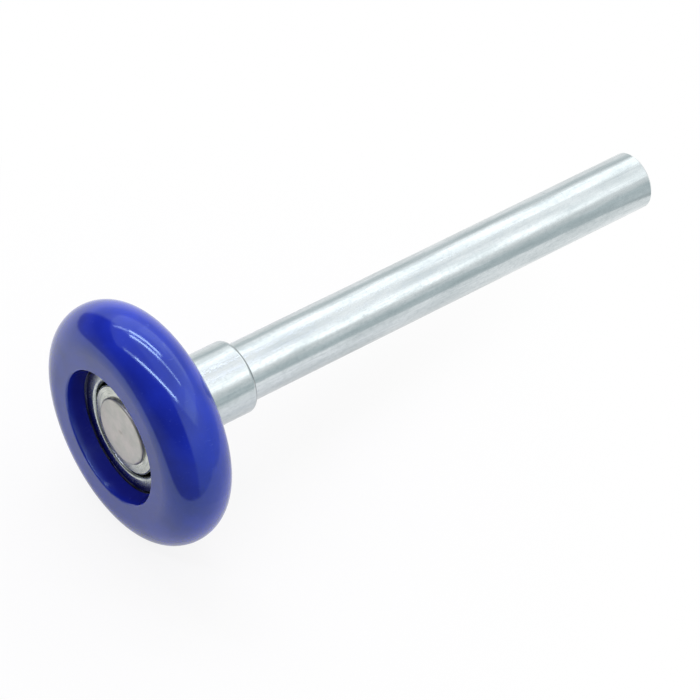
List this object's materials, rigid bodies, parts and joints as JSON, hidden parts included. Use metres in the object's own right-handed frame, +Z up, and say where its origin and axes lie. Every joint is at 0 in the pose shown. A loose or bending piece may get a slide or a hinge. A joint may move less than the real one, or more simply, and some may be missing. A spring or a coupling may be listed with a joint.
{
  "type": "garage door roller",
  "caption": "Garage door roller: a round-edged nylon wheel on a shielded ball bearing, riveted to the end of a plain plated steel stem with a collar.",
  "frame": {"origin": "the wheel's centre, where its spin axis crosses its middle plane", "axes": "+Y along the spin axis, from the wheel towards the stem's free end; the outer face with the rivet head looks along -Y; +Z up"},
  "size_m": [0.046, 0.1206, 0.046],
  "materials": {
    "blue_nylon": "glossy moulded nylon, blue right through",
    "zinc_plated_steel": "bright zinc plate on drawn steel rod",
    "bearing_steel": "ground hardened steel",
    "ball_steel": "polished hardened steel",
    "shield_steel": "pressed sheet steel, satin",
    "cage_steel": "pressed sheet steel, plain"
  },
  "bodies": {
    "stem": {"stem": "zinc_plated_steel", "collar": "zinc_plated_steel", "inner_ring": "bearing_steel"},
    "wheel": {"wheel": "blue_nylon", "outer_ring": "bearing_steel", "front_shield": "shield_steel", "back_shield": "shield_steel"},
    "cage": {"front_cage_ribbon": "cage_steel", "back_cage_ribbon": "cage_steel", "cage_rivets": "cage_steel"},
    "ball_1": {"ball_1": "ball_steel"},
    "ball_2": {"ball_2": "ball_steel"},
    "ball_3": {"ball_3": "ball_steel"},
    "ball_4": {"ball_4": "ball_steel"},
    "ball_5": {"ball_5": "ball_steel"},
    "ball_6": {"ball_6": "ball_steel"},
    "ball_7": {"ball_7": "ball_steel"},
    "ball_8": {"ball_8": "ball_steel"}
  },
  "joints": [
    {"name": "wheel_spin", "type": "hinge", "parent": "stem", "child": "wheel", "pos_m": [0, 0, 0], "axis": [0, 1, 0], "continuous": true},
    {"name": "cage_spin", "type": "hinge", "parent": "stem", "child": "cage", "pos_m": [0, 0.0012, 0], "axis": [0, 1, 0], "continuous": true},
    {"name": "ball_1_roll", "type": "hinge", "parent": "cage", "child": "ball_1", "pos_m": [0.01, 0.0012, 0], "axis": [0, 1, 0], "continuous": true},
    {"name": "ball_2_roll", "type": "hinge", "parent": "cage", "child": "ball_2", "pos_m": [0.00707, 0.0012, -0.00707], "axis": [0, 1, 0], "continuous": true},
    {"name": "ball_3_roll", "type": "hinge", "parent": "cage", "child": "ball_3", "pos_m": [0, 0.0012, -0.01], "axis": [0, 1, 0], "continuous": true},
    {"name": "ball_4_roll", "type": "hinge", "parent": "cage", "child": "ball_4", "pos_m": [-0.00707, 0.0012, -0.00707], "axis": [0, 1, 0], "continuous": true},
    {"name": "ball_5_roll", "type": "hinge", "parent": "cage", "child": "ball_5", "pos_m": [-0.01, 0.0012, 0], "axis": [0, 1, 0], "continuous": true},
    {"name": "ball_6_roll", "type": "hinge", "parent": "cage", "child": "ball_6", "pos_m": [-0.00707, 0.0012, 0.00707], "axis": [0, 1, 0], "continuous": true},
    {"name": "ball_7_roll", "type": "hinge", "parent": "cage", "child": "ball_7", "pos_m": [0, 0.0012, 0.01], "axis": [0, 1, 0], "continuous": true},
    {"name": "ball_8_roll", "type": "hinge", "parent": "cage", "child": "ball_8", "pos_m": [0.00707, 0.0012, 0.00707], "axis": [0, 1, 0], "continuous": true}
  ],
  "couplings": [
    {"joint": "cage_spin", "follows": "wheel_spin", "ratio": 0.61905},
    {"joint": "ball_1_roll", "follows": "wheel_spin", "ratio": 1.9809},
    {"joint": "ball_2_roll", "follows": "wheel_spin", "ratio": 1.9809},
    {"joint": "ball_3_roll", "follows": "wheel_spin", "ratio": 1.9809},
    {"joint": "ball_4_roll", "follows": "wheel_spin", "ratio": 1.9809},
    {"joint": "ball_5_roll", "follows": "wheel_spin", "ratio": 1.9809},
    {"joint": "ball_6_roll", "follows": "wheel_spin", "ratio": 1.9809},
    {"joint": "ball_7_roll", "follows": "wheel_spin", "ratio": 1.9809},
    {"joint": "ball_8_roll", "follows": "wheel_spin", "ratio": 1.9809}
  ]
}
